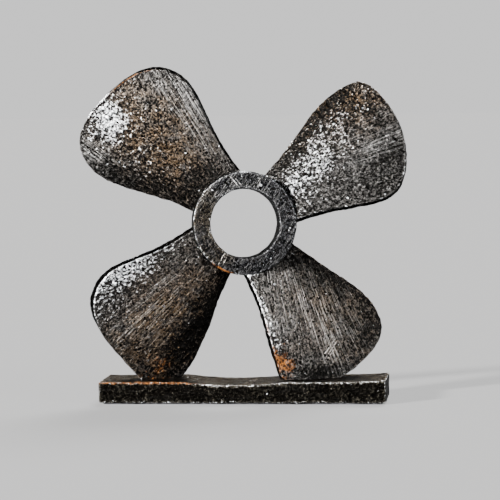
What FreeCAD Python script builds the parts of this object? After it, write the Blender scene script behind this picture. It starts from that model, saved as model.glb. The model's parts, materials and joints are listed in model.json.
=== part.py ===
"""A four-blade propeller ornament that stands on a bar, as a parametric FreeCAD document.

A turned ring carries four carved, pitched blades. The two lower blades are sawn off flat
and stand on a rectangular bar. Dowels join the blades to the ring, screws from below hold
the two feet, and a felt sheet covers the underside of the bar.

Frame: millimetres, +Z up, front towards -Y, X along the bar. The origin is the middle of
the underside, on the surface that the ornament stands on.
"""
import FreeCAD, Part
import math
import os
import Sketcher
from FreeCAD import Placement, Rotation, Vector

PARTS_FOLDER = "parts"
ORIGIN = Vector(0, 0, 0)
X_AXIS = Vector(1, 0, 0)
Y_AXIS = Vector(0, 1, 0)
Z_AXIS = Vector(0, 0, 1)

# Driving dimensions in millimetres and degrees. Each name is an alias in the sheet.
SIZES = {
    # The propeller on its bar.
    "hub_height": 133.8,
    "hub_along": 0.5,
    "hub_across": 3,
    "yaw": 10.5,
    "lean": 2.5,
    # The ring.
    "ring_diameter": 77.4,
    "bore_diameter": 51.6,
    "ring_depth": 30,
    "ring_edge_break": 0.8,
    # The pitch of the plane that every blade's outline is drawn on.
    "outline_pitch": 20,
    # Joinery between ring and blades.
    "dowel_diameter": 6,
    "dowel_length": 26,
    "dowel_in_ring": 8,
    "dowel_spread": 13,
    "dowel_end_gap": 1,
    "joint_clearance": 0.1,
    # The bar.
    "bar_length": 215,
    "bar_width": 50,
    "seat_height": 17,
    "scoop_left": -45,
    "scoop_right": 33,
    "scoop_depth": 2.4,
    "rise_start": 76,
    "rise_height": 1.2,
    "bar_edge_break": 0.7,
    # The felt sheet under the bar.
    "felt_thickness": 1,
    "felt_margin": 2.5,
    "felt_corner": 4,
    # The foot screws.
    "screw_diameter": 3,
    "screw_head_diameter": 6,
    "screw_head_height": 1.8,
    "screw_length": 26,
    "screw_point_diameter": 0.6,
    "screw_recess_width": 0.75,
    "screw_recess_depth": 1,
}

# Blade sections, root to tip: distance from the hub axis, rake of the whole section towards
# the front, pitch, half chord, the rise of the front and back faces above the edges, and the
# thickness at the edges.
SECTION_FIELDS = ("station", "rake", "pitch", "half_chord", "front_rise", "back_rise", "edge")
SECTIONS = {
    "root": (26, 0, 23, 27, 4.5, 1.5, 7.0),
    "neck": (60, 0.6, 21, 36, 5.5, 1.0, 7.0),
    "waist": (100, -0.4, 19, 54, 6.5, 0.6, 6.5),
    "tip": (146, -4, 16, 58, 5.5, 0.6, 5.5),
}

# Each blade: direction from the hub, counter-clockwise from +X as seen from the front,
# reach of its tip, half widths at the clockwise and counter-clockwise shoulders, how square
# those two corners are (0 round, 1 square, more drawn out), and sideways shift of the root.
BLADE_FIELDS = ("direction", "reach", "cw_width", "ccw_width", "cw_corner", "ccw_corner", "root_shift")
BLADES = {
    "upper_left": (134, 137, 45, 51.5, 0.6, 1, -5.5),
    "upper_right": (34, 137, 48, 39.5, 0, 1.4, 0.5),
    "lower_left": (222, 133, 45, 51, 0.5, 2, -4.5),
    "lower_right": (308.6, 133.5, 54.5, 35.6, 0.6, 1, 0.2),
}

# The outline of every blade, as control points down one side from the root to the tip. The
# distance out is a fraction of the reach and the place sideways a fraction of that side's
# width. How square the corner is adds to both, and the root's shift fades out along the side.
OUTLINE_FIELDS = ("out", "out_by_corner", "sideways", "sideways_by_corner", "root_shift_share")
OUTLINE = (
    (0.22, 0, 0.48, 0, 1),
    (0.36, 0, 0.57, 0, 0.6),
    (0.55, 0, 0.84, 0, 0),
    (0.74, 0, 1.08, 0, 0),
    (0.88, 0.04, 0.89, 0.12, 0),
    (1.03, 0, 0.27, 0.38, 0),
)

# The feet: place of each foot's middle along the bar and across it, and the direction in
# which its two screws are spread, seen from above.
FOOT_FIELDS = ("foot_along", "foot_across", "foot_turn", "foot_spread")
FEET = {
    "lower_left": (-65, -1, 25, 9),
    "lower_right": (59.5, 0.7, 27, 12),
}

# The two slots of a screw's cross recess, in degrees about the screw.
CROSS_RECESS = (45, 135)

document = FreeCAD.newDocument("PropellerOrnament")
sheet = document.addObject("Spreadsheet::Sheet", "Sizes")


def fill_sheet():
    """Write every driving dimension to the sheet, one per row, with its alias."""
    rows = dict(SIZES)
    for section, values in SECTIONS.items():
        for field, value in zip(SECTION_FIELDS, values):
            rows[f"{section}_{field}"] = value
    for blade, values in BLADES.items():
        for field, value in zip(BLADE_FIELDS, values):
            rows[f"{blade}_{field}"] = value
    for blade, values in FEET.items():
        for field, value in zip(FOOT_FIELDS, values):
            rows[f"{blade}_{field}"] = value
    for number, values in enumerate(OUTLINE, start=1):
        for field, value in zip(OUTLINE_FIELDS, values):
            rows[f"outline_{number}_{field}"] = value
    for row, (alias, value) in enumerate(rows.items(), start=1):
        sheet.set(f"A{row}", alias)
        sheet.set(f"B{row}", str(value))
        sheet.setAlias(f"B{row}", alias)
    document.recompute()


def size(alias):
    """The number that the sheet holds under this alias."""
    return float(sheet.get(alias))


def bind(item, **expressions):
    """Bind properties of an object to expressions on the sheet."""
    for name, expression in expressions.items():
        item.setExpression(name, expression)


def cell(alias):
    """An alias as an expression names it."""
    return f"<<Sizes>>.{alias}"


def add_body(name):
    """A new, empty PartDesign body, labelled with the node's name."""
    body = document.addObject("PartDesign::Body", name)
    body.Label = name
    return body


def add_sketch(body, name, role):
    """A new sketch on one of the body's own origin planes."""
    sketch = body.newObject("Sketcher::SketchObject", name)
    plane = next(item for item in body.Origin.OriginFeatures if item.Role == role)
    sketch.AttachmentSupport = [(plane, "")]
    sketch.MapMode = "FlatFace"
    return sketch


def constrain(sketch, name, expression, *constraint):
    """Add a named constraint to a sketch and bind it to an expression."""
    index = sketch.addConstraint(Sketcher.Constraint(*constraint))
    sketch.renameConstraint(index, name)
    sketch.setExpression(f"Constraints.{name}", expression)


def join_ends(sketch, first, last):
    """Join the lines and arcs numbered first to last into one closed loop."""
    order = list(range(first, last + 1))
    for here, following in zip(order, order[1:] + order[:1]):
        sketch.addConstraint(Sketcher.Constraint("Coincident", here, 2, following, 1))


def add_circle(sketch, name, diameter, across="0", along="0"):
    """A circle with a bound diameter, and a centre bound to two expressions."""
    circle = sketch.addGeometry(Part.Circle(Vector(1, 1, 0), Z_AXIS, 5))
    constrain(sketch, f"{name}_diameter", diameter, "Diameter", circle, 5)
    if across == "0" and along == "0":
        sketch.addConstraint(Sketcher.Constraint("Coincident", circle, 3, -1, 1))
        return
    constrain(sketch, f"{name}_across", across, "DistanceX", -1, 1, circle, 3, 1)
    constrain(sketch, f"{name}_along", along, "DistanceY", -1, 1, circle, 3, 1)


def propeller_placement():
    """Where the flat propeller goes: stood up to face the front, leant back and turned."""
    stand_up = Rotation(X_AXIS, 90 - size("lean"))
    turn = Rotation(Z_AXIS, size("yaw"))
    centre = Vector(size("hub_along"), size("hub_across"), size("hub_height"))
    return Placement(centre, turn * stand_up)


def blade_placement(blade):
    """The place of one blade: the propeller's, turned about the hub axis."""
    spoke = Placement(ORIGIN, Rotation(Z_AXIS, size(f"{blade}_direction")))
    return propeller_placement() * spoke


def add_ring():
    """The hub before its sockets are drilled: a turned ring, open bore, broken edges."""
    ring = add_body("ring_blank")
    face = add_sketch(ring, "RingFace", "XY_Plane")
    add_circle(face, "outer", cell("ring_diameter"))
    add_circle(face, "bore", cell("bore_diameter"))
    pad = ring.newObject("PartDesign::Pad", "RingPad")
    pad.Profile = face
    pad.SideType = "Symmetric"
    bind(pad, Length=cell("ring_depth"))
    document.recompute()
    edges = [f"Edge{number}" for number, edge in enumerate(pad.Shape.Edges, start=1)
             if isinstance(edge.Curve, Part.Circle)]
    chamfer = ring.newObject("PartDesign::Chamfer", "RingEdges")
    chamfer.Base = (pad, edges)
    bind(chamfer, Size=cell("ring_edge_break"))
    ring.Placement = propeller_placement()
    document.recompute()
    return ring


def add_section(body, blade, section):
    """One cross-section of a blade: two shallow arcs joined by square edges."""
    sketch = add_sketch(body, f"{blade}_{section}_section", "YZ_Plane")
    half, front, back, edge = (size(f"{section}_{field}") for field in SECTION_FIELDS[3:])
    front_radius = (half ** 2 + front ** 2) / (2 * front)
    back_radius = (half ** 2 + back ** 2) / (2 * back)
    front_sweep = math.asin(half / front_radius)
    back_sweep = math.asin(half / back_radius)
    front_circle = Part.Circle(Vector(0, edge / 2 + front - front_radius, 0), Z_AXIS, front_radius)
    back_circle = Part.Circle(Vector(0, back_radius - back - edge / 2, 0), Z_AXIS, back_radius)
    up = math.pi / 2
    sketch.addGeometry(Part.ArcOfCircle(front_circle, up - front_sweep, up + front_sweep))
    sketch.addGeometry(Part.LineSegment(Vector(-half, edge / 2, 0), Vector(-half, -edge / 2, 0)))
    sketch.addGeometry(Part.ArcOfCircle(back_circle, -up - back_sweep, -up + back_sweep))
    sketch.addGeometry(Part.LineSegment(Vector(half, -edge / 2, 0), Vector(half, edge / 2, 0)))
    join_ends(sketch, 0, 3)
    sketch.addConstraint(Sketcher.Constraint("Symmetric", 0, 1, 0, 2, -2))
    sketch.addConstraint(Sketcher.Constraint("Symmetric", 1, 1, 1, 2, -1))
    sketch.addConstraint(Sketcher.Constraint("Symmetric", 3, 1, 3, 2, -1))
    chord, rise, drop, thick = (cell(f"{section}_{field}") for field in SECTION_FIELDS[3:])
    constrain(sketch, "chord", f"2 * {chord}", "DistanceX", 1, 1, 3, 2, 2 * half)
    constrain(sketch, "edge", thick, "DistanceY", 3, 1, 3, 2, edge)
    constrain(sketch, "front", f"({chord}^2 + {rise}^2) / (2 * {rise})", "Radius", 0, front_radius)
    constrain(sketch, "back", f"({chord}^2 + {drop}^2) / (2 * {drop})", "Radius", 2, back_radius)
    sketch.AttachmentOffset = Placement(Vector(0, 0, 1), Rotation(-Z_AXIS, 1))
    sketch.setExpression("AttachmentOffset.Base.z", cell(f"{section}_station"))
    sketch.setExpression("AttachmentOffset.Base.y", cell(f"{section}_rake"))
    sketch.setExpression("AttachmentOffset.Rotation.Angle", cell(f"{section}_pitch"))
    return sketch


def outline_poles(blade):
    """Control points of a blade's outline, from its clockwise root round the tip and back.

    Each is an expression for the distance from the hub and one for the sideways place.
    """
    reach = cell(f"{blade}_reach")
    shift = cell(f"{blade}_root_shift")
    poles = []
    for side, sign in (("cw", "-1"), ("ccw", "1")):
        width = cell(f"{blade}_{side}_width")
        corner = cell(f"{blade}_{side}_corner")
        flank = []
        for number in range(1, len(OUTLINE) + 1):
            out, more_out, sideways, more_sideways, share = (
                cell(f"outline_{number}_{field}") for field in OUTLINE_FIELDS)
            flank.append((
                f"{reach} * ({out} + {more_out} * {corner})",
                f"{sign} * {width} * ({sideways} + {more_sideways} * {corner}) + {shift} * {share}"))
        poles += flank if side == "cw" else flank[::-1]
    return poles


def add_outline(body, blade):
    """The sketch that trims a blade: everything outside its outline."""
    sketch = add_sketch(body, f"{blade}_outline", "XY_Plane")
    sketch.AttachmentOffset = Placement(ORIGIN, Rotation(-X_AXIS, 1))
    sketch.setExpression("AttachmentOffset.Rotation.Angle", cell("outline_pitch"))
    poles = outline_poles(blade)
    points = [Vector(index * 5, (index % 3) * 5, 0) for index in range(len(poles))]
    curve = Part.BSplineCurve()
    inner_knots = len(points) - 4
    curve.buildFromPolesMultsKnots(
        points, [4] + [1] * inner_knots + [4], list(range(inner_knots + 2)), False, 3)
    spline = sketch.addGeometry(curve)
    sketch.exposeInternalGeometry(spline)
    handles = [number for number, item in enumerate(sketch.Geometry) if isinstance(item, Part.Circle)]
    for index, (handle, (along, across)) in enumerate(zip(handles, poles)):
        constrain(sketch, f"along_{index}", along, "DistanceX", -1, 1, handle, 3, points[index].x + 1)
        constrain(sketch, f"across_{index}", across, "DistanceY", -1, 1, handle, 3, points[index].y + 1)
    root = sketch.addGeometry(Part.LineSegment(points[-1], points[0]))
    sketch.addConstraint(Sketcher.Constraint("Coincident", spline, 2, root, 1))
    sketch.addConstraint(Sketcher.Constraint("Coincident", root, 2, spline, 1))
    return sketch


def add_frame_round(sketch, *limits):
    """A rectangle round an outline, to cut away what lies between the two.

    The limits are expressions: left, right and half height.
    """
    left, right, half = limits
    first = sketch.GeometryCount
    corners = [Vector(-1, -9, 0), Vector(9, -9, 0), Vector(9, 9, 0), Vector(-1, 9, 0)]
    for start, end in zip(corners, corners[1:] + corners[:1]):
        sketch.addGeometry(Part.LineSegment(start, end))
    join_ends(sketch, first, first + 3)
    for line, direction in enumerate(("Horizontal", "Vertical", "Horizontal", "Vertical")):
        sketch.addConstraint(Sketcher.Constraint(direction, first + line))
    constrain(sketch, "frame_left", left, "DistanceX", -1, 1, first, 1, 1)
    constrain(sketch, "frame_right", right, "DistanceX", -1, 1, first, 2, 9)
    constrain(sketch, "frame_low", f"-({half})", "DistanceY", -1, 1, first, 1, -9)
    constrain(sketch, "frame_high", half, "DistanceY", -1, 1, first + 2, 1, 9)


def add_pocket(body, name, sketch, length):
    """A pocket cut both ways from a sketch, which has to take material off."""
    before = body.Shape.Volume
    pocket = body.newObject("PartDesign::Pocket", name)
    pocket.Profile = sketch
    pocket.SideType = "Symmetric"
    bind(pocket, Length=length)
    document.recompute()
    if body.Shape.Volume >= before:
        raise RuntimeError(f"{name} cuts nothing")
    return pocket


def add_blade_blank(blade):
    """A carved blade before it is drilled: lofted, trimmed to its outline, root coped."""
    body = add_body(f"{blade}_blank")
    sections = [add_section(body, blade, section) for section in SECTIONS]
    document.recompute()
    loft = body.newObject("PartDesign::AdditiveLoft", f"{blade}_loft")
    loft.Profile = sections[0]
    loft.Sections = sections[1:]
    document.recompute()
    outline = add_outline(body, blade)
    reach = cell(f"{blade}_reach")
    frame_left = f"{cell('bore_diameter')} / 20"
    add_frame_round(outline, frame_left, f"1.5 * {reach}", f"{reach}")
    document.recompute()
    add_pocket(body, f"{blade}_trim", outline, reach)
    cope = add_sketch(body, f"{blade}_cope", "XY_Plane")
    add_circle(cope, "hub", cell("ring_diameter"))
    add_pocket(body, f"{blade}_root", cope, cell("ring_diameter"))
    body.Placement = blade_placement(blade)
    return body


def add_cylinder(name, diameter, length, placement):
    """A Part cylinder with a bound diameter and length, along its own +Z."""
    cylinder = document.addObject("Part::Cylinder", name)
    cylinder.Label = name
    bind(cylinder, Radius=f"({diameter}) / 2", Height=length)
    cylinder.Placement = placement
    return cylinder


def add_dowels(blade):
    """Two dowels across the joint of ring and blade, and the drills for their sockets."""
    along = Rotation(Z_AXIS, X_AXIS)
    pitch = Placement(ORIGIN, Rotation(X_AXIS, -size("root_pitch")))
    start = size("ring_diameter") / 2 - size("dowel_in_ring")
    dowels = []
    drills = []
    for number, side in ((1, -1), (2, 1)):
        across = side * size("dowel_spread") + size(f"{blade}_root_shift")
        place = blade_placement(blade) * pitch
        dowel_place = place * Placement(Vector(start, across, 0), along)
        drill_place = place * Placement(Vector(start - size("dowel_end_gap"), across, 0), along)
        dowels.append(add_cylinder(
            f"dowel_{blade}_{number}", cell("dowel_diameter"), cell("dowel_length"), dowel_place))
        drills.append(add_cylinder(
            f"drill_{blade}_{number}", f"{cell('dowel_diameter')} + {cell('joint_clearance')}",
            f"{cell('dowel_length')} + 2 * {cell('dowel_end_gap')}", drill_place))
    return dowels, drills


def add_cut(name, base, tools):
    """A Part cut of one object by several tools."""
    tool = tools[0]
    if len(tools) > 1:
        tool = document.addObject("Part::MultiFuse", f"{name}_tools")
        tool.Shapes = tools
    cut = document.addObject("Part::Cut", name)
    cut.Label = name
    cut.Base = base
    cut.Tool = tool
    document.recompute()
    if cut.Shape.Volume >= base.Shape.Volume:
        raise RuntimeError(f"{name}: the tools cut nothing")
    return cut


def add_saw():
    """A block that fills everything below the seats, to saw the feet off flat."""
    saw = document.addObject("Part::Box", "foot_saw")
    length = 2 * size("bar_length")
    bind(saw, Length=f"2 * {cell('bar_length')}", Width=cell("bar_length"), Height=cell("hub_height"))
    saw.Placement = Placement(
        Vector(-length / 2, -length / 4, size("seat_height") - size("hub_height")), Rotation())
    return saw


def foot_points(blade):
    """The places of a foot's two screws on the seat."""
    middle = Vector(size(f"{blade}_foot_along"), size(f"{blade}_foot_across"), 0)
    turn = Rotation(Z_AXIS, size(f"{blade}_foot_turn"))
    spread = turn.multVec(Vector(size(f"{blade}_foot_spread"), 0, 0))
    return [middle - spread, middle + spread]


def add_cone(name, wide, narrow, length, placement):
    """A Part cone with bound diameters and length, wide end first along its own +Z."""
    cone = document.addObject("Part::Cone", name)
    bind(cone, Radius1=f"({wide}) / 2", Radius2=f"({narrow}) / 2", Height=length)
    cone.Placement = placement
    return cone


def add_screw(name, point):
    """A countersunk wood screw that points up, and the drill for its hole."""
    under = Placement(point + Vector(0, 0, size("felt_thickness")), Rotation())
    diameter = cell("screw_diameter")
    head = add_cone(
        f"{name}_head", cell("screw_head_diameter"), diameter, cell("screw_head_height"), under)
    shank = add_cylinder(f"{name}_shank", diameter, f"{cell('screw_length')} - {diameter}", under)
    tip_place = under * Placement(Vector(0, 0, size("screw_length") - size("screw_diameter")), Rotation())
    tip = add_cone(f"{name}_tip", diameter, cell("screw_point_diameter"), diameter, tip_place)
    whole = document.addObject("Part::MultiFuse", f"{name}_whole")
    whole.Shapes = [head, shank, tip]
    slots = []
    corner = Vector(-size("screw_diameter") / 2, -size("screw_recess_width") / 2, 0)
    for number, turn in enumerate(CROSS_RECESS, start=1):
        slot = document.addObject("Part::Box", f"{name}_slot_{number}")
        bind(slot, Length=diameter, Width=cell("screw_recess_width"), Height=cell("screw_recess_depth"))
        slot.Placement = under * Placement(ORIGIN, Rotation(Z_AXIS, turn)) * Placement(corner, Rotation())
        slots.append(slot)
    document.recompute()
    screw = add_cut(name, whole, slots)
    clear = cell("joint_clearance")
    hole = add_cylinder(f"{name}_hole", f"{diameter} + {clear}", f"{cell('screw_length')} + {clear}", under)
    sink = add_cone(
        f"{name}_sink", f"{cell('screw_head_diameter')} + {clear}", f"{diameter} + {clear}",
        f"{cell('screw_head_height')} + {clear}", under)
    drill = document.addObject("Part::MultiFuse", f"{name}_drill")
    drill.Shapes = [hole, sink]
    return screw, drill


def add_bar():
    """The bar: flat seats for both feet, a worn scoop between them, and a raised right end."""
    body = add_body("bar_blank")
    sketch = add_sketch(body, "bar_profile", "XZ_Plane")
    half = size("bar_length") / 2
    low = size("felt_thickness")
    seat = size("seat_height")
    left, right = size("scoop_left"), size("scoop_right")
    corners = [
        Vector(-half, low, 0), Vector(half, low, 0), Vector(half, seat + size("rise_height"), 0),
        Vector(size("rise_start"), seat, 0), Vector(right, seat, 0), Vector(left, seat, 0),
        Vector(-half, seat, 0),
    ]
    scoop = 4
    for index, (start, end) in enumerate(zip(corners, corners[1:] + corners[:1])):
        if index == scoop:
            lowest = Vector((left + right) / 2, seat - size("scoop_depth"), 0)
            sketch.addGeometry(Part.Arc(start, lowest, end))
        else:
            sketch.addGeometry(Part.LineSegment(start, end))
    # The scoop's arc runs counter-clockwise, so its ends are numbered the other way round.
    for line in range(len(corners)):
        following = (line + 1) % len(corners)
        out_end, in_end = (1 if line == scoop else 2), (2 if following == scoop else 1)
        sketch.addConstraint(Sketcher.Constraint("Coincident", line, out_end, following, in_end))
    for line in (0, 3, 5):
        sketch.addConstraint(Sketcher.Constraint("Horizontal", line))
    for line in (1, 6):
        sketch.addConstraint(Sketcher.Constraint("Vertical", line))
    span = f"({cell('scoop_right')} - {cell('scoop_left')})"
    depth = cell("scoop_depth")
    constrain(sketch, "underside", cell("felt_thickness"), "DistanceY", -1, 1, 0, 1, low)
    constrain(sketch, "left_end", f"-{cell('bar_length')} / 2", "DistanceX", -1, 1, 0, 1, -half)
    constrain(sketch, "right_end", f"{cell('bar_length')} / 2", "DistanceX", -1, 1, 0, 2, half)
    constrain(sketch, "left_seat", cell("seat_height"), "DistanceY", -1, 1, 5, 1, seat)
    constrain(sketch, "right_seat", cell("seat_height"), "DistanceY", -1, 1, 3, 1, seat)
    constrain(sketch, "rise", cell("rise_height"), "DistanceY", 2, 2, 2, 1, size("rise_height"))
    constrain(sketch, "rise_start", cell("rise_start"), "DistanceX", -1, 1, 3, 1, size("rise_start"))
    constrain(sketch, "scoop_right", cell("scoop_right"), "DistanceX", -1, 1, 3, 2, right)
    constrain(sketch, "scoop_left", cell("scoop_left"), "DistanceX", -1, 1, 5, 1, left)
    radius = f"({span}^2 / 4 + {depth}^2) / (2 * {depth})"
    constrain(sketch, "scoop_radius", radius, "Radius", scoop, 2 * half)
    pad = body.newObject("PartDesign::Pad", "bar_pad")
    pad.Profile = sketch
    pad.SideType = "Symmetric"
    bind(pad, Length=cell("bar_width"))
    document.recompute()
    corner_edges = [
        f"Edge{number}" for number, edge in enumerate(pad.Shape.Edges, start=1)
        if abs(abs(edge.CenterOfMass.x) - half) < 1 and abs(edge.CenterOfMass.z - seat / 2) < 2
    ]
    fillet = body.newObject("PartDesign::Fillet", "bar_corners")
    fillet.Base = (pad, corner_edges)
    bind(fillet, Radius=cell("bar_edge_break"))
    document.recompute()
    return body


def add_felt():
    """The felt sheet: a thin rectangle with rounded corners, set in from the bar's edges."""
    body = add_body("felt_sheet")
    sketch = add_sketch(body, "felt_outline", "XY_Plane")
    corners = [Vector(-9, -5, 0), Vector(9, -5, 0), Vector(9, 5, 0), Vector(-9, 5, 0)]
    for start, end in zip(corners, corners[1:] + corners[:1]):
        sketch.addGeometry(Part.LineSegment(start, end))
    join_ends(sketch, 0, 3)
    for line, direction in enumerate(("Horizontal", "Vertical", "Horizontal", "Vertical")):
        sketch.addConstraint(Sketcher.Constraint(direction, line))
    sketch.addConstraint(Sketcher.Constraint("Symmetric", 0, 1, 2, 1, -1, 1))
    margin = f"2 * {cell('felt_margin')}"
    constrain(sketch, "length", f"{cell('bar_length')} - {margin}", "DistanceX", 0, 1, 0, 2, 18)
    constrain(sketch, "width", f"{cell('bar_width')} - {margin}", "DistanceY", 1, 1, 1, 2, 10)
    pad = body.newObject("PartDesign::Pad", "felt_pad")
    pad.Profile = sketch
    bind(pad, Length=cell("felt_thickness"))
    document.recompute()
    upright = [
        f"Edge{number}" for number, edge in enumerate(pad.Shape.Edges, start=1)
        if abs(edge.tangentAt(edge.FirstParameter).z) > 0.9
    ]
    fillet = body.newObject("PartDesign::Fillet", "felt_corners")
    fillet.Base = (pad, upright)
    bind(fillet, Radius=cell("felt_corner"))
    document.recompute()
    return body


def build():
    """Build every piece. Returns the finished pieces."""
    fill_sheet()
    ring = add_ring()
    saw = add_saw()
    nodes = []
    ring_drills = []
    bar_drills = []
    for blade in BLADES:
        blank = add_blade_blank(blade)
        dowels, drills = add_dowels(blade)
        nodes += dowels
        ring_drills += drills
        tools = list(drills)
        if blade in FEET:
            tools.append(saw)
            for number, point in enumerate(foot_points(blade), start=1):
                screw, drill = add_screw(f"foot_screw_{blade}_{number}", point)
                nodes.append(screw)
                tools.append(drill)
                bar_drills.append(drill)
        nodes.append(add_cut(f"blade_{blade}", blank, tools))
    nodes.append(add_cut("hub_ring", ring, ring_drills))
    nodes.append(add_cut("base_bar", add_bar(), bar_drills))
    nodes.append(add_felt())
    document.recompute()
    return nodes


def check(nodes):
    """Stop on any failed object, and on any piece that isn't one sound solid."""
    for item in document.Objects:
        if "Invalid" in item.State or "Error" in item.State:
            raise RuntimeError(f"{item.Label} failed: {item.State}")
    for node in nodes:
        shape = node.Shape
        if shape.isNull() or not shape.isValid() or len(shape.Solids) != 1:
            raise RuntimeError(f"{node.Label} isn't one valid solid")


def write(nodes):
    """Write each piece to its own STEP file."""
    os.makedirs(PARTS_FOLDER, exist_ok=True)
    for node in nodes:
        node.Shape.exportStep(os.path.join(PARTS_FOLDER, f"{node.Label}.step"))
        print(f"{node.Label}: {node.Shape.Volume / 1000:.2f} cm3")


pieces = build()
check(pieces)
write(pieces)
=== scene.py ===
"""The looks of the propeller ornament: pitted, hammered skins under an aged metal-effect paint, with painted
highlights and painted shade.

Every CAD piece that shows gets a dense skin: a copy of its solid, remeshed, worn at the arrises
and pitted. Each skin carries its paint as attributes, which the node materials read. Lengths
are metres, or millimetres times MM, but places called local, the grain and all that is laid
out on them are in plain millimetres.
"""
import itertools
import json
import math
import bpy
import numpy as np
from mathutils import Matrix, Vector


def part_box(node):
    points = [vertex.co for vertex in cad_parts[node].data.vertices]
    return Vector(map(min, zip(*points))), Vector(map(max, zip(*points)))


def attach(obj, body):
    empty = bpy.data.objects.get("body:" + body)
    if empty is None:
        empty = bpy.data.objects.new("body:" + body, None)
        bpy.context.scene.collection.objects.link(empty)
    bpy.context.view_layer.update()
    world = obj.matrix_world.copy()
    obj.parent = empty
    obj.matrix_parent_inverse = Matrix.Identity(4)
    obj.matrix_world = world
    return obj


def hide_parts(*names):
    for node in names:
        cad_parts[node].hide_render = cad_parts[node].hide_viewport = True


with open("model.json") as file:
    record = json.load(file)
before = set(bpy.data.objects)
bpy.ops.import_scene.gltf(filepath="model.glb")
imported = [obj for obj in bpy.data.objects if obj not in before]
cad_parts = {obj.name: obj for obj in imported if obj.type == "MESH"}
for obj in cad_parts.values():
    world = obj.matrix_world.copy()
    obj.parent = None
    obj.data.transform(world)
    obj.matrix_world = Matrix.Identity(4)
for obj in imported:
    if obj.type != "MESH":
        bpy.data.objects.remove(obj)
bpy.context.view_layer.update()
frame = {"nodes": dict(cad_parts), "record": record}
MM = 0.001

# The hub, from the record's bore mount. The blades' directions are degrees counter-clockwise
# from the right, seen from the front, as in the part.
hub_mount = next(mount for mount in frame["record"]["mounts"] if mount["name"] == "hub_bore")
HUB = np.array(hub_mount["pos_m"])
HUB_FRONT = np.array(hub_mount["axis"])
BLADE_DIRECTIONS = {"upper_left": 134, "upper_right": 34, "lower_left": 222, "lower_right": 308.6}
# The ring's outside radius, and the middle of a blade's length, in millimetres from the hub's axis.
RING_RADIUS = 38.7
MID_BLADE = 90

# ---------------------------------------------------------------------------- noise


def scramble(cells, seed):
    """A repeatable number from 0 to 1 for each row of whole numbers."""
    mixed = cells.astype(np.int64).astype(np.uint32) * np.array([73856093, 19349663, 83492791], np.uint32)
    mixed = mixed[:, 0] ^ mixed[:, 1] ^ mixed[:, 2] ^ np.uint32((seed * 2654435761) % 2 ** 32)
    for shift, factor in ((16, 0x7FEB352D), (15, 0x846CA68B)):
        mixed ^= mixed >> np.uint32(shift)
        mixed *= np.uint32(factor)
    mixed ^= mixed >> np.uint32(16)
    return mixed / 2 ** 32


def noise(points, size, seed):
    """Smooth noise from -1 to 1 with lumps of about the given size, one for all axes or one each."""
    scaled = points / size
    cell = np.floor(scaled)
    part = scaled - cell
    part = part * part * (3 - 2 * part)
    total = np.zeros(len(points))
    for corner in itertools.product((0, 1), repeat=3):
        weight = np.prod(np.where(corner, part, 1 - part), axis=1)
        total += weight * scramble(cell + corner, seed)
    return 2 * total - 1


def layered(points, size, seed, layers=3):
    """Noise from about -1 to 1 whose layers halve in size and in strength."""
    total = sum(noise(points, size / 2 ** layer, seed + layer) / 2 ** layer for layer in range(layers))
    return total / (2 - 0.5 ** (layers - 1)) * 1.4


def pits(points, size, seed, share, reach):
    """Depth from 0 to 1 of round pits: at most one to a cell of the given size, and to a share of them."""
    scaled = points / size
    cell = np.floor(scaled)
    deepest = np.zeros(len(points))
    for step in itertools.product((-1, 0, 1), repeat=3):
        home = cell + step
        there = scramble(home, seed) < share
        centre = home + np.stack([scramble(home, seed + axis) for axis in (1, 2, 3)], axis=1)
        radius = reach * (0.45 + 0.55 * scramble(home, seed + 4))
        distance = np.linalg.norm(scaled - centre, axis=1) / radius
        bowl = np.clip(1 - distance ** 2, 0, 1) * radius / reach
        deepest = np.maximum(deepest, np.where(there, bowl, 0))
    return deepest


def ramp(value, low, high):
    """0 below low, 1 above high, and a smooth rise between."""
    part = np.clip((value - low) / (high - low), 0, 1)
    return part * part * (3 - 2 * part)


# ---------------------------------------------------------------------------- skins


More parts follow.
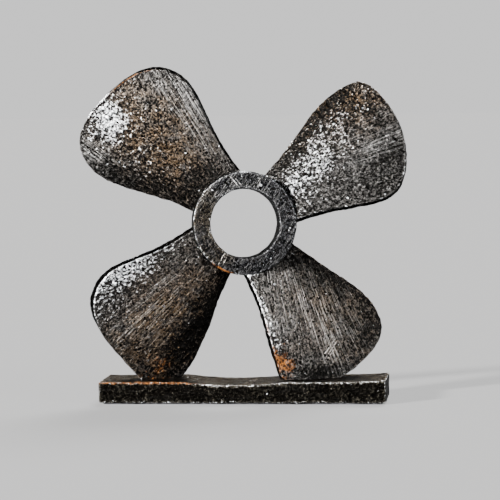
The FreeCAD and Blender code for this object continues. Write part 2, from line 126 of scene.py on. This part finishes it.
class Skin:
    """A dense copy of a CAD node, with its vertices as arrays in metres."""

    def __init__(self, name, node, voxel):
        self.node = node
        source = frame["nodes"][node].data.copy()
        rough = bpy.data.objects.new(f"{name}_rough", source)
        bpy.context.collection.objects.link(rough)
        remesh = rough.modifiers.new("dense", "REMESH")
        remesh.mode = "VOXEL"
        remesh.voxel_size = voxel
        seen = rough.evaluated_get(bpy.context.evaluated_depsgraph_get())
        self.mesh = bpy.data.meshes.new_from_object(seen)
        bpy.data.objects.remove(rough)
        self.piece = bpy.data.objects.new(name, self.mesh)
        bpy.context.collection.objects.link(self.piece)
        self.mesh.materials.clear()
        self.edges = np.empty(len(self.mesh.edges) * 2, np.int32)
        self.mesh.edges.foreach_get("vertices", self.edges)
        self.edges = self.edges.reshape(-1, 2)
        self.count = len(self.mesh.vertices)
        self.links = np.bincount(self.edges.ravel(), minlength=self.count)
        self.points = self.rows(self.mesh.vertices, "co")

    def rows(self, items, field):
        """A field of three numbers for each vertex, one row each."""
        values = np.empty(self.count * 3, np.float32)
        items.foreach_get(field, values)
        return values.reshape(-1, 3).astype(np.float64)

    def normals(self, rounds=0):
        """The vertices' normals, one row each, averaged with their neighbours' in that many rounds."""
        return self.spread(self.rows(self.mesh.vertex_normals, "vector"), rounds)

    def write(self):
        """Put the points into the mesh."""
        self.mesh.vertices.foreach_set("co", self.points.astype(np.float32).ravel())
        self.mesh.update()

    def spread(self, values, rounds):
        """Values averaged with their neighbours' again and again."""
        first, second = self.edges[:, 0], self.edges[:, 1]

        def neighbours(column):
            """The sum of one column's values over each vertex's neighbours."""
            forth = np.bincount(first, column[second], self.count)
            return forth + np.bincount(second, column[first], self.count)

        columns = values.reshape(self.count, -1)
        for _ in range(rounds):
            summed = np.stack([neighbours(column) for column in columns.T], axis=1)
            columns = (columns + summed / self.links[:, None]) / 2
        return columns.reshape(values.shape)

    def bulge(self, rounds):
        """How far each point stands out of its surroundings, in metres: positive on arrises."""
        return ((self.points - self.spread(self.points, rounds)) * self.normals()).sum(axis=1)

    def paint(self, name, values):
        """Store one number, or one vector, for each vertex under a name that a material can read."""
        kind = "FLOAT" if values.ndim == 1 else "FLOAT_VECTOR"
        layer = self.mesh.attributes.new(name, kind, "POINT")
        layer.data.foreach_set("value" if kind == "FLOAT" else "vector", values.astype(np.float32).ravel())


def soften(skin):
    """Round off the remeshed arrises a little, and find them: 1 along an arris, 0 elsewhere."""
    skin.points = skin.spread(skin.points, rounds=3)
    skin.write()
    return ramp(skin.bulge(rounds=7), 0.14 * MM, 0.30 * MM)


# The sizes of what wears every skin. A pit cell holds one pit at most. The grooves' size counts
# across the grain, in millimetres.
WANDER_SIZE = 30 * MM
CROWD_SIZE = 24 * MM
LUMP_SIZE = 9 * MM
CHIP_SIZE = 6 * MM
PIT_CELL = 4.2 * MM
ROUGH_SIZE = 3.4 * MM
SMALL_PIT_CELL = 2.3 * MM
WARP_SIZE = 2 * MM
WARP_DEPTH = 0.5 * MM
GROOVE_SIZE = 2.6
# How far a point stands out between the bottom of a hollow and the top of a high spot.
HIGH_RANGE = 0.3 * MM


def hammer(skin, seed, arris, grain, brushed, *, wander, lump, rough, pit, chip, groove):
    """Wear a skin's surface: hand-made unevenness, hammering, pits, chipped edges, brush grooves.

    The six depths are in metres. Where it is brushed, the surface is calmer and grooved along
    the grain. The pit and high-spot masks are stored for the paint.
    """
    place = skin.points
    normal = skin.normals(rounds=2)
    warp = np.stack([noise(place, WARP_SIZE, seed + axis) for axis in (11, 12, 13)], axis=1)
    warped = place + WARP_DEPTH * warp
    crowd = ramp(layered(place, CROWD_SIZE, seed + 40, 2), -0.6, 0.5)
    large = pits(warped, PIT_CELL, seed + 20, share=0.5, reach=0.36) * (0.35 + 0.65 * crowd)
    small = pits(warped, SMALL_PIT_CELL, seed + 30, share=0.7, reach=0.42)
    calm = 1 - 0.65 * brushed
    depth = wander * layered(place, WANDER_SIZE, seed, 2)
    depth += lump * layered(place, LUMP_SIZE, seed + 5, 2)
    depth += rough * calm * layered(place, ROUGH_SIZE, seed + 8, 2)
    depth += groove * brushed * layered(grain, GROOVE_SIZE, seed + 60, 2)
    depth -= pit * calm * (large + 0.55 * small)
    depth -= chip * arris * ramp(layered(place, CHIP_SIZE, seed + 50, 3), 0.15, 0.7)
    skin.points = place + normal * depth[:, None]
    skin.write()
    skin.paint("arris", arris)
    skin.paint("grain", grain)
    skin.paint("pit", np.clip(large + 0.6 * small * calm, 0, 1))
    skin.paint("high", np.clip(0.5 + skin.bulge(rounds=5) / HIGH_RANGE, 0, 1))
    skin.mesh.polygons.foreach_set("use_smooth", np.ones(len(skin.mesh.polygons), bool))


def hub_axes(direction):
    """Outward, sideways and forward axes of a blade, as rows. Sideways is counter-clockwise."""
    right = np.cross([0, 0, 1], HUB_FRONT)
    right /= np.linalg.norm(right)
    up = np.cross(HUB_FRONT, right)
    turn = math.radians(direction)
    outward = math.cos(turn) * right + math.sin(turn) * up
    sideways = math.cos(turn) * up - math.sin(turn) * right
    return np.stack([outward, sideways, HUB_FRONT])


def patch(place, along, across, length, width, seed, tilt):
    """A soft blotch from 0 to 1 round a place in local millimetres, with a ragged outline."""
    turn = math.radians(tilt)
    x = place[:, 0] - along
    y = place[:, 1] - across
    u = (x * math.cos(turn) + y * math.sin(turn)) / length
    v = (y * math.cos(turn) - x * math.sin(turn)) / width
    ragged = 0.28 * layered(place, 9, seed)
    return 1 - ramp(np.sqrt(u * u + v * v) + ragged, 0.0, 1.45)


# The paint on each blade, in millimetres outwards and sideways from the hub: kind, place,
# half length, half width, strength, and tilt in degrees. A kind that starts with "edge_" is kept
# to the band along the blade's edges. A scratch is a thin bright line, scored across the strokes.
# A silver patch is dry-brushed silver with a painted highlight on it, and one along the edges is a
# painted highlight on the arrises that face the upper left. A dark patch is painted shade.
BLADE_PAINT = {
    "upper_left": [
        ("silver_and_highlight", 128, 17, 25, 18, 0.95, 0),
        ("silver_and_highlight", 92, 24, 44, 16, 0.3, 10),
        ("brushed", 88, -31, 52, 16, 0.85, -12),
        ("brushed", 118, 42, 26, 8, 0.7, 30),
        ("bronze", 88, 4, 60, 34, 1.0, 0),
        ("edge_rust", 132, -10, 20, 38, 1.0, 14),
        ("dark_and_shade", 62, 30, 64, 14, 0.55, 18),
        ("dark_and_shade", 44, 4, 16, 28, 0.65, 0),
    ],
    "upper_right": [
        ("silver_and_highlight", 74, 12, 60, 24, 0.74, 20),
        ("brushed", 116, -6, 34, 22, 0.4, 0),
        ("bronze", 108, 28, 54, 26, 1.0, 4),
        ("dark_and_shade", 90, 34, 66, 16, 0.7, 14),
        ("dark_and_shade", 116, 16, 42, 28, 0.25, 0),
        ("dark_and_shade", 118, -24, 38, 20, 0.45, 0),
    ],
    "lower_left": [
        ("silver_and_highlight", 92, -36, 44, 15, 0.84, -10),
        ("silver_and_highlight", 106, -24, 38, 18, 0.3, 0),
        ("edge_silver_and_highlight", 90, -50, 50, 16, 0.7, -10),
        ("brushed", 100, 2, 50, 18, 0.6, 0),
        ("bronze", 92, 12, 66, 34, 1.0, 4),
        ("bronze", 110, 36, 34, 20, 1.0, 0),
        ("rust", 122, 34, 20, 24, 0.75, 0),
        ("dark_and_shade", 70, 33, 62, 15, 1.0, 12),
    ],
    "lower_right": [
        ("silver_and_highlight", 62, -32, 42, 5, 0.6, -16),
        ("edge_silver_and_highlight", 56, -36, 46, 14, 1.0, -16),
        ("brushed", 88, -2, 60, 26, 0.7, 4),
        ("scratch", 112, -10, 13, 0.5, 0.6, 104),
        ("scratch", 114.4, -10.5, 10, 0.45, 0.5, 105),
        ("scratch", 116.6, -12, 7, 0.45, 0.45, 103),
        ("bronze", 98, 10, 56, 40, 0.6, 0),
        ("rust", 102, -45, 24, 13, 1.0, -14),
        ("edge_rust", 76, -38, 24, 9, 0.9, -16),
        ("dark_and_shade", 128, 22, 26, 30, 0.6, 0),
        ("dark_and_shade", 127, -25, 26, 10, 1.0, 51),
        ("dark_and_shade", 60, 20, 44, 14, 0.8, 20),
        ("dark_and_shade", 100, 36, 44, 10, 0.45, 10),
    ],
}
# Each kind is an attribute of the skins. One that a skin lacks reads 0.
KINDS = ("silver_and_highlight", "brushed", "bronze", "rust", "dark_and_shade", "scratch")
# How far the brush strokes on each blade lean from its length, in degrees counter-clockwise, and
# how far back from mid-blade they would meet, in millimetres.
BRUSH_LEAN = {"upper_left": -5, "upper_right": -16, "lower_left": -1, "lower_right": -20}
BRUSH_FAN = 190
# The direction of the strokes on the ring's front, in degrees counter-clockwise from the right.
RING_BRUSH_TURN = 55
# The grain counts only this share of the distance along the strokes, which draws its noise out.
BLADE_DRAWN = 0.024
RING_DRAWN = 0.06
BAR_DRAWN = 0.05
# Scratches on the ring's front, in millimetres right of and above the hub: place, half length,
# half width, and angle in degrees. They are all of one strength.
RING_SCRATCHES = [
    (-8, 32, 8, 0.55, -52),
    (-5, 31.5, 6, 0.4, -49),
    (-18, -26, 8, 0.5, 59),
    (-15.5, -27.5, 4, 0.3, 62),
]
RING_SCRATCH_STRENGTH = 0.5


def side_walls(skin):
    """1 on the walls that run along the hub's axis, 0 on the faces that look along it."""
    return 1 - ramp(np.abs(skin.normals(rounds=4) @ HUB_FRONT), 0.45, 0.75)


def hub_places(skin, direction):
    """The skin's points in millimetres along the hub's axes, the first turned to a direction."""
    return (skin.points - HUB) @ hub_axes(direction).T / MM


def make_blade(name, seed):
    """One blade's skin, with its paint, its painted highlights and its painted shade laid out along it."""
    node = f"blade_{name}"
    skin = Skin(f"{node}_skin", node, 0.56 * MM)
    arris = soften(skin)
    local = hub_places(skin, BLADE_DIRECTIONS[name])
    side = side_walls(skin)
    edge = ramp(skin.spread(side, rounds=20), 0.05, 0.3) * (1 - 0.8 * side)
    zones = {kind: np.zeros(skin.count) for kind in KINDS}
    for number, (kind, along, across, length, width, strength, tilt) in enumerate(BLADE_PAINT[name]):
        blotch = strength * patch(local, along, across, length, width, seed + 60 + number, tilt)
        if kind.startswith("edge_"):
            kind = kind.removeprefix("edge_")
            blotch = blotch * edge
        zones[kind] = np.maximum(zones[kind], blotch)
    # Painted shade: the side walls dark, and a wide band in from the edges half as dark.
    rim = ramp(skin.spread(side, rounds=90), 0.03, 0.4)
    zones["dark_and_shade"] = np.maximum(zones["dark_and_shade"], np.maximum(side, 0.5 * rim))
    lean = math.radians(BRUSH_LEAN[name])
    outward, sideways, depth = local[:, 0] - MID_BLADE, local[:, 1], local[:, 2]
    stroke = outward * math.cos(lean) + sideways * math.sin(lean)
    fan = (sideways * math.cos(lean) - outward * math.sin(lean)) * BRUSH_FAN / (BRUSH_FAN + stroke)
    grain = np.stack([stroke * BLADE_DRAWN, fan, depth * BLADE_DRAWN], axis=1)
    hammer(skin, seed, arris, grain, zones["brushed"],
           wander=0.4 * MM, lump=0.22 * MM, rough=0.36 * MM, pit=0.55 * MM, chip=0.8 * MM, groove=0.14 * MM)
    for kind in KINDS:
        skin.paint(kind, zones[kind])
    return skin


def make_ring(seed):
    """The ring's skin, brushed on the diagonal, with a chipped bright line round its front that is also a
    painted highlight, brightest at the upper left, and with painted shade low down and on its walls.
    """
    skin = Skin("hub_ring_skin", "hub_ring", 0.55 * MM)
    arris = soften(skin)
    side = side_walls(skin)
    local = hub_places(skin, 0)
    right, above, forward = local.T
    turn = math.radians(RING_BRUSH_TURN)
    diagonal = right * math.cos(turn) + above * math.sin(turn)
    cross = above * math.cos(turn) - right * math.sin(turn)
    grain = np.stack([diagonal * RING_DRAWN, cross, forward * RING_DRAWN], axis=1)
    angle = np.degrees(np.arctan2(above, right)) % 360
    ragged = layered(local, 9, seed + 70)

    def sector(middle, tear, inner, outer):
        """1 up to the inner angle from a middle one, 0 beyond the outer, with an edge torn so far."""
        return 1 - ramp(np.abs(angle - middle) + tear * ragged, inner, outer)

    left = sector(middle=190, tear=25, inner=20, outer=70)
    top = sector(middle=100, tear=25, inner=15, outer=60)
    low = sector(middle=262, tear=20, inner=15, outer=60)
    # The upper left, where the key light falls; the painted highlight on the front arris is brightest there.
    lit = sector(middle=135, tear=20, inner=55, outer=120)
    worn = sector(middle=242, tear=15, inner=8, outer=26)
    brushed = 0.1 + 0.3 * top
    hammer(skin, seed, arris, grain, brushed,
           wander=0.3 * MM, lump=0.14 * MM, rough=0.2 * MM, pit=0.35 * MM, chip=0.9 * MM, groove=0.1 * MM)
    radius = np.hypot(right, above)
    # The front outer arris gets chipped silver with a painted highlight on it, brightest at the upper left;
    # the rest gets a little silver, more on top.
    rim = ramp(radius, RING_RADIUS - 0.9, RING_RADIUS - 0.4) * ramp(forward, 0, 5)
    chipped = ramp(layered(local, 5, seed + 75), -0.5, 0.3)
    skin.paint("silver_and_highlight", np.maximum(0.08 + 0.08 * top, rim * chipped * (0.2 + 0.45 * lit)))
    scratch = np.zeros(skin.count)
    for number, (along, across, length, width, tilt) in enumerate(RING_SCRATCHES):
        stroke = patch(local, along, across, length, width, seed + 80 + number, tilt)
        scratch = np.maximum(scratch, RING_SCRATCH_STRENGTH * stroke * (1 - side))
    skin.paint("scratch", scratch)
    skin.paint("brushed", brushed)
    skin.paint("bronze", 0.8 * left)
    skin.paint("rust", worn * ramp(radius, RING_RADIUS - 2.2, RING_RADIUS - 0.7))
    # Painted shade: darker towards the bottom, and much darker on the walls.
    skin.paint("dark_and_shade", np.maximum(0.15 + 0.15 * low, 0.9 * side))
    return skin


def make_bar(seed):
    """The bar's skin, lighter on top and worn along the left part of its top front arris."""
    skin = Skin("base_bar_skin", "base_bar", 0.72 * MM)
    arris = soften(skin)
    local = skin.points / MM
    right, back, height = local.T
    grain = np.stack([right * BAR_DRAWN, back, height], axis=1)
    ragged = layered(local, 14, seed + 70)
    top = ramp(skin.normals(rounds=4)[:, 2], 0.5, 0.9)
    brushed = 0.3 * top
    just_behind_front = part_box("base_bar")[0].y / MM + 0.4
    brink = 1 - ramp(np.abs(back - just_behind_front) + 1.2 * ragged, 0.6, 3.2)
    worn = 1 - ramp(right + 40 * ragged, -30, 60)
    hammer(skin, seed, arris, grain, brushed,
           wander=0.3 * MM, lump=0.18 * MM, rough=0.25 * MM, pit=0.45 * MM, chip=0.8 * MM, groove=0.1 * MM)
    skin.paint("silver_and_highlight", 0.4 * ramp(layered(local, 2.6, seed + 80, 2), 0.4, 0.8))
    skin.paint("brushed", brushed)
    skin.paint("bronze", 0.1 + 0.85 * top)
    skin.paint("rust", 0.8 * brink * worn * ramp(height, 14, 16))
    skin.paint("dark_and_shade", 0.6 - 0.15 * top)
    return skin


# ---------------------------------------------------------------------------- materials


RANGE_SOCKETS = ("From Min", "From Max", "To Min", "To Max")
NOISE_SOCKETS = ("Scale", "Detail", "Roughness", "Distortion")


class Nodes:
    """A short way to write a material's node tree."""

    def __init__(self, name):
        self.material = bpy.data.materials.new(name)
        self.material.use_nodes = True
        self.tree = self.material.node_tree
        self.shader = self.tree.nodes["Principled BSDF"]

    def put(self, socket, value):
        """Link a socket's source, or set a constant."""
        if isinstance(value, bpy.types.NodeSocket):
            self.tree.links.new(value, socket)
        elif isinstance(value, tuple) and len(value) == 3 and socket.type == "RGBA":
            socket.default_value = (*value, 1)
        else:
            socket.default_value = value

    def attribute(self, name, vector=False):
        """A named attribute of the mesh."""
        node = self.tree.nodes.new("ShaderNodeAttribute")
        node.attribute_name = name
        return node.outputs["Vector" if vector else "Fac"]

    def math(self, operation, first, second):
        """A sum, product or other operation on two numbers."""
        node = self.tree.nodes.new("ShaderNodeMath")
        node.operation = operation
        self.put(node.inputs[0], first)
        self.put(node.inputs[1], second)
        return node.outputs[0]

    def product(self, first, *others):
        """The product of two or more sources."""
        for other in others:
            first = self.math("MULTIPLY", first, other)
        return first

    def total(self, *terms, offset=0.0):
        """The sum of an offset and of sources, each times its weight."""
        for weight, source in terms:
            offset = self.math("ADD", self.product(source, weight), offset)
        return offset

    def stretch(self, value, low, high, to_low=0.0, to_high=1.0):
        """Map low..high smoothly to to_low..to_high, held at both ends."""
        node = self.tree.nodes.new("ShaderNodeMapRange")
        node.interpolation_type = "SMOOTHSTEP"
        self.put(node.inputs["Value"], value)
        for socket, number in zip(RANGE_SOCKETS, (low, high, to_low, to_high)):
            self.put(node.inputs[socket], number)
        return node.outputs["Result"]

    def mix(self, share, first, second):
        """A colour between two."""
        node = self.tree.nodes.new("ShaderNodeMix")
        node.data_type = "RGBA"
        self.put(node.inputs["Factor"], share)
        self.put(node.inputs["A"], first)
        self.put(node.inputs["B"], second)
        return node.outputs["Result"]

    def scaled(self, vector, factors):
        """A vector, each part times its factor."""
        node = self.tree.nodes.new("ShaderNodeVectorMath")
        node.operation = "MULTIPLY"
        self.put(node.inputs[0], vector)
        node.inputs[1].default_value = factors
        return node.outputs["Vector"]

    def texture(self, scale, detail, roughness, vector=None, twist=0.0):
        """Procedural noise, in the object's own metres where no vector is given."""
        node = self.tree.nodes.new("ShaderNodeTexNoise")
        if vector is None:
            vector = self.tree.nodes.new("ShaderNodeTexCoord").outputs["Object"]
        self.put(node.inputs["Vector"], vector)
        for socket, value in zip(NOISE_SOCKETS, (scale, detail, roughness, twist)):
            self.put(node.inputs[socket], value)
        return node.outputs["Fac"]

    def bump(self, height, distance, strength, normal=None):
        """A bumped normal, from a height of 0 to 1 that stands for a distance in metres."""
        node = self.tree.nodes.new("ShaderNodeBump")
        self.put(node.inputs["Height"], height)
        self.put(node.inputs["Distance"], distance)
        self.put(node.inputs["Strength"], strength)
        if normal is not None:
            self.put(node.inputs["Normal"], normal)
        return node.outputs["Normal"]


# Colours that every coat of paint shares.
STROKE_GREY, STROKE_BROWN = (0.31, 0.305, 0.298), (0.27, 0.2, 0.125)
# The silver colours serve both dry-brushed silver and painted highlights; the bright one's slight blue is a
# painted reflection.
SILVER_AND_HIGHLIGHT_DULL, SILVER_AND_HIGHLIGHT_BRIGHT = (0.12, 0.125, 0.134), (0.78, 0.80, 0.83)
ARRIS_GREY = (0.15, 0.142, 0.135)
RUST_DARK, RUST_ORANGE = (0.02, 0.006, 0.001), (0.15, 0.052, 0.008)
PIT_BLACK = (0.002, 0.0018, 0.0016)


def aged_paint(name, *, ground, body, bronze, edge_wear, grazing, ridge):
    """Metal-effect paint: a dark ground, a worn body, brown glaze, silver dry-brushing, painted highlights
    and glints, and painted shade.

    Edge wear is how bright the arrises are, and grazing how much it mirrors at a low angle.
    Ridge scales the grain for the relief, so that the relief is drawn out less than the strokes.
    """
    made = Nodes(name)
    grain = made.attribute("grain", vector=True)
    arris, pit, high = (made.attribute(mask) for mask in ("arris", "pit", "high"))
    silver_and_highlight, brushed, brown, rust, dark_and_shade, scratch = (made.attribute(kind) for kind in KINDS)
    cloud = made.texture(70, 4, 0.65)
    ridged = made.scaled(grain, ridge)
    speck = made.texture(0.54, 3, 0.65, ridged, 0.7)
    fine = made.texture(1.15, 2, 0.6, ridged, 0.3)
    streak = made.texture(0.45, 3, 0.6, grain)
    line = made.texture(1.9, 3, 0.65, grain)

    # The body and its glaze, down to the ground in the hollows, and further towards it where shade is
    # painted.
    glaze = made.product(brown, made.stretch(made.texture(90, 5, 0.7), 0.25, 0.6))
    relief = made.total((0.9, high), (1.15, speck), (1.0, fine), (0.3, cloud), (-0.3, dark_and_shade), offset=-1.69)
    relief = made.product(relief, made.total((-0.4, brushed), offset=1.0))
    colour = made.mix(made.stretch(relief, -0.16, 0.22), ground, made.mix(glaze, body, bronze))

    # Brush strokes and scratches.
    lines = made.product(
        made.stretch(line, 0.5, 0.63), made.stretch(streak, 0.32, 0.58),
        made.total((0.9, brushed), offset=0.01), made.stretch(relief, -0.3, 0.1, 0.5, 1.0))
    scored = made.product(made.stretch(scratch, 0.1, 0.5), made.stretch(fine, 0.35, 0.5))
    stroke = made.mix(made.product(glaze, 0.5), STROKE_GREY, STROKE_BROWN)
    colour = made.mix(made.math("MAXIMUM", lines, scored), colour, stroke)

    # Silver on the high spots, the arrises and a few nicks; in the silver patches it is also a painted
    # highlight, and on the nicks a painted glint.
    nick_and_glint = made.stretch(made.texture(430, 0, 0.5), 0.78, 0.84)
    lit = made.total((0.9, relief), (0.44, silver_and_highlight), (0.35 * edge_wear, arris), (0.4, nick_and_glint))
    bright = made.stretch(made.total((0.6, speck), (0.4, high)), 0.36, 0.64)
    colour = made.mix(made.stretch(lit, 0.23, 0.62), colour, made.mix(bright, SILVER_AND_HIGHLIGHT_DULL, SILVER_AND_HIGHLIGHT_BRIGHT))
    worn = made.product(arris, made.stretch(made.texture(160, 3, 0.6), 0.42, 0.6), edge_wear)
    colour = made.mix(worn, colour, ARRIS_GREY)

    # Rust-like blisters, then pits and pinholes.
    blister = made.texture(330, 5, 0.75)
    rusty = made.stretch(made.total((0.5, blister), (0.3, line), (0.2, high), (0.3, rust)), 0.72, 0.86)
    rusty = made.product(rusty, made.stretch(rust, 0.05, 0.4))
    colour = made.mix(rusty, colour, made.mix(made.stretch(speck, 0.4, 0.6), RUST_DARK, RUST_ORANGE))
    colour = made.mix(made.product(made.stretch(pit, 0.12, 0.5), 0.9), colour, PIT_BLACK)
    colour = made.mix(made.stretch(made.texture(360, 1, 0.4), 0.66, 0.71), colour, PIT_BLACK)
    made.put(made.shader.inputs["Base Color"], colour)

    # Gloss, and the relief that is finer than the skin.
    made.put(made.shader.inputs["Metallic"], made.stretch(rusty, 0, 1, 1.0, 0.2))
    rough = made.stretch(made.texture(240, 3, 0.6), 0.3, 0.7, 0.31, 0.44)
    made.put(made.shader.inputs["Roughness"], made.total((0.3, rusty), offset=rough))
    made.shader.inputs["Specular IOR Level"].default_value = 0.2
    made.shader.inputs["Specular Tint"].default_value = (grazing, grazing, grazing, 1)
    normal = made.bump(line, 0.3 * MM, made.total((0.6, brushed), offset=0.05))
    normal = made.bump(speck, 1.3 * MM, 1.0, normal)
    normal = made.bump(fine, 0.3 * MM, 1.0, normal)
    made.put(made.shader.inputs["Normal"], normal)
    return made.material


def felt_material():
    """Black wool felt: matt, with a short fuzz and a slight mottle."""
    made = Nodes("black_felt")
    mottle = made.texture(600, 5, 0.7)
    made.put(made.shader.inputs["Base Color"], made.mix(mottle, (0.008, 0.008, 0.010), (0.035, 0.035, 0.04)))
    made.shader.inputs["Roughness"].default_value = 0.95
    made.shader.inputs["Sheen Weight"].default_value = 0.3
    made.put(made.shader.inputs["Normal"], made.bump(made.texture(2500, 4, 0.7), 0.3 * MM, 0.8))
    return made.material


def beech_material():
    """Plain beech, with its flecks along the dowel."""
    made = Nodes("beech")
    fleck = made.texture(350, 4, 0.6)
    made.put(made.shader.inputs["Base Color"], made.mix(fleck, (0.48, 0.32, 0.18), (0.68, 0.50, 0.33)))
    made.shader.inputs["Roughness"].default_value = 0.6
    made.put(made.shader.inputs["Normal"], made.bump(fleck, 0.1 * MM, 0.5))
    return made.material


def steel_material():
    """Zinc-plated steel with a faint yellow passivate."""
    made = Nodes("zinc_steel")
    bloom = made.texture(500, 3, 0.6)
    made.put(made.shader.inputs["Base Color"], made.mix(bloom, (0.55, 0.50, 0.40), (0.72, 0.70, 0.66)))
    made.shader.inputs["Metallic"].default_value = 1.0
    made.put(made.shader.inputs["Roughness"], made.stretch(bloom, 0.3, 0.7, 0.25, 0.45))
    return made.material


# ---------------------------------------------------------------------------- the object


def finish_skin(skin, material):
    """Give a skin its material, and let it stand for its CAD node."""
    skin.mesh.materials.append(material)
    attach(skin.piece, "root")
    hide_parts(skin.node)


blade_paint = aged_paint(
    "blade_paint", ground=(0.003, 0.0028, 0.0026), body=(0.047, 0.045, 0.043),
    bronze=(0.068, 0.044, 0.024), edge_wear=0.8, grazing=0.25, ridge=(30, 1, 30))
ring_paint = aged_paint(
    "ring_paint", ground=(0.001, 0.001, 0.0012), body=(0.023, 0.023, 0.0245),
    bronze=(0.034, 0.027, 0.016), edge_wear=0.8, grazing=0.25, ridge=(16.7, 1, 16.7))
bar_paint = aged_paint(
    "bar_paint", ground=(0.0006, 0.0005, 0.0004), body=(0.011, 0.0102, 0.0078),
    bronze=(0.075, 0.064, 0.05), edge_wear=0.2, grazing=0.4, ridge=(22, 1.1, 1.1))

for number, blade in enumerate(BLADE_DIRECTIONS, start=1):
    finish_skin(make_blade(blade, seed=100 * number), blade_paint)
finish_skin(make_ring(seed=700), ring_paint)
finish_skin(make_bar(seed=900), bar_paint)

# The pieces that keep their CAD meshes, by the slot of their material.
plain_materials = {"felt": felt_material(), "dowel_wood": beech_material(), "screw_steel": steel_material()}
for subpart in frame["record"]["subparts"]:
    material = plain_materials.get(subpart["material_slot"])
    if material is not None:
        mesh = frame["nodes"][subpart["node"]].data
        mesh.materials.clear()
        mesh.materials.append(material)

# ---------------------------------------------------------------------------- the studio


def towards(azimuth, elevation):
    """The unit vector towards a place round from the front to the right, and up, in degrees."""
    turn, rise = math.radians(azimuth), math.radians(elevation)
    return Vector((math.sin(turn) * math.cos(rise), -math.cos(turn) * math.cos(rise), math.sin(rise)))


def make_floor(radii, spokes):
    """A wide round floor of widening rings, which the felt lies on."""
    mesh = bpy.data.meshes.new("floor")
    points = [(0, 0, 0)]
    for radius in radii:
        for spoke in range(spokes):
            turn = math.tau * spoke / spokes
            points.append((radius * math.cos(turn), radius * math.sin(turn), 0))
    faces = [(0, 1 + spoke, 1 + (spoke + 1) % spokes) for spoke in range(spokes)]
    for ring in range(len(radii) - 1):
        inner = 1 + ring * spokes
        outer = inner + spokes
        for spoke in range(spokes):
            after = (spoke + 1) % spokes
            faces.append((inner + spoke, outer + spoke, outer + after, inner + after))
    mesh.from_pydata(points, [], faces)
    floor = bpy.data.objects.new("floor", mesh)
    bpy.context.collection.objects.link(floor)
    made = Nodes("pale_floor")
    made.shader.inputs["Base Color"].default_value = (0.06, 0.06, 0.06, 1)
    made.shader.inputs["Emission Color"].default_value = (1, 1, 1, 1)
    made.shader.inputs["Emission Strength"].default_value = 0.5
    made.shader.inputs["Roughness"].default_value = 0.9
    made.shader.inputs["Specular IOR Level"].default_value = 0.0
    mesh.materials.append(made.material)


def make_camera(azimuth, elevation, distance, target, roll, lens):
    """A camera that looks at a target: angles in degrees, places in metres, the lens in millimetres."""
    back = towards(azimuth, elevation)
    level = Vector((0, 0, 1)).cross(back).normalized()
    above = back.cross(level)
    tip = math.radians(roll)
    right = level * math.cos(tip) - above * math.sin(tip)
    up = above * math.cos(tip) + level * math.sin(tip)
    data = bpy.data.cameras.new("camera")
    data.lens = lens
    data.sensor_width = 36
    data.clip_start = 0.1
    data.clip_end = 60
    camera = bpy.data.objects.new("camera", data)
    turned = Matrix((right, up, back)).transposed().to_4x4()
    camera.matrix_world = Matrix.Translation(Vector(target) + back * distance) @ turned
    bpy.context.collection.objects.link(camera)
    bpy.context.scene.camera = camera


def make_sun(name, azimuth, elevation, strength, angle, colour=(1, 1, 1)):
    """A soft sun that shines from the given side, with azimuth 0 at the front and 90 at the right."""
    data = bpy.data.lights.new(name, "SUN")
    data.energy = strength
    data.angle = math.radians(angle)
    data.color = colour
    sun = bpy.data.objects.new(name, data)
    sun.rotation_mode = "QUATERNION"
    sun.rotation_quaternion = towards(azimuth, elevation).to_track_quat("Z", "Y")
    bpy.context.collection.objects.link(sun)


def make_world(horizon, above, fade_from, fade_to):
    """A pale band round the horizon, which the floor runs into, and a dimmer studio above it.

    The fade's ends are heights on a sphere of radius 1.
    """
    world = bpy.data.worlds.new("studio")
    world.use_nodes = True
    tree = world.node_tree
    place = tree.nodes.new("ShaderNodeTexCoord")
    split = tree.nodes.new("ShaderNodeSeparateXYZ")
    fade = tree.nodes.new("ShaderNodeMapRange")
    fade.interpolation_type = "SMOOTHSTEP"
    for socket, number in zip(RANGE_SOCKETS, (fade_from, fade_to, horizon, above)):
        fade.inputs[socket].default_value = number
    tree.links.new(place.outputs["Generated"], split.inputs[0])
    tree.links.new(split.outputs["Z"], fade.inputs["Value"])
    tree.links.new(fade.outputs["Result"], tree.nodes["Background"].inputs["Strength"])
    tree.nodes["Background"].inputs["Color"].default_value = (1, 1, 1, 1)
    bpy.context.scene.world = world


make_floor(radii=(0.15, 0.5, 1.5, 5.0, 16.0), spokes=64)
make_camera(azimuth=6.4, elevation=3.9, distance=1.84, target=(0.0053, 0, 0.1137), roll=0.78, lens=176.6)
make_sun("key", azimuth=-47, elevation=18, strength=36.0, angle=6, colour=(1.0, 0.985, 0.965))
make_sun("fill", azimuth=60, elevation=8, strength=6.0, angle=15)
make_sun("back", azimuth=165, elevation=50, strength=16.0, angle=30)
make_world(horizon=0.95, above=0.12, fade_from=0.06, fade_to=0.14)
